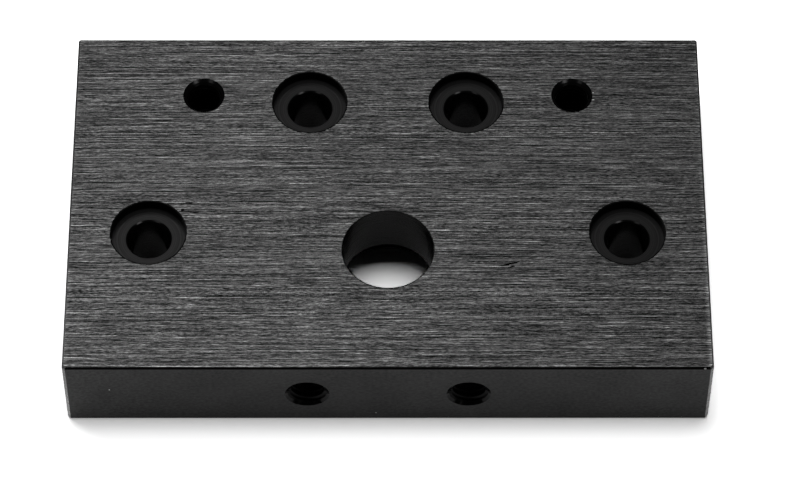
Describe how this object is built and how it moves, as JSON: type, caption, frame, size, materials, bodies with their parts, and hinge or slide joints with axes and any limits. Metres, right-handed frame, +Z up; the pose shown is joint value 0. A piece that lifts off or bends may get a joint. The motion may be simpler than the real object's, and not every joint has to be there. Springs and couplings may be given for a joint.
{
  "type": "mounting block",
  "caption": "Flat rectangular machined block with a stepped bore, recessed clearance holes and tapped holes in the top and front faces, for fixing a motor or spindle to slotted profile.",
  "frame": {"origin": "centre of the underside, level with the table that the block rests on", "axes": "+X along the bar, +Z up through the thickness, -Y out of the front face with its own tapped holes"},
  "size_m": [0.08, 0.05, 0.012],
  "materials": {
    "black_anodised": "black anodised, top face brushed along the bar, other faces satin"
  },
  "bodies": {
    "root": {"mounting_block": "black_anodised"}
  },
  "joints": []
}
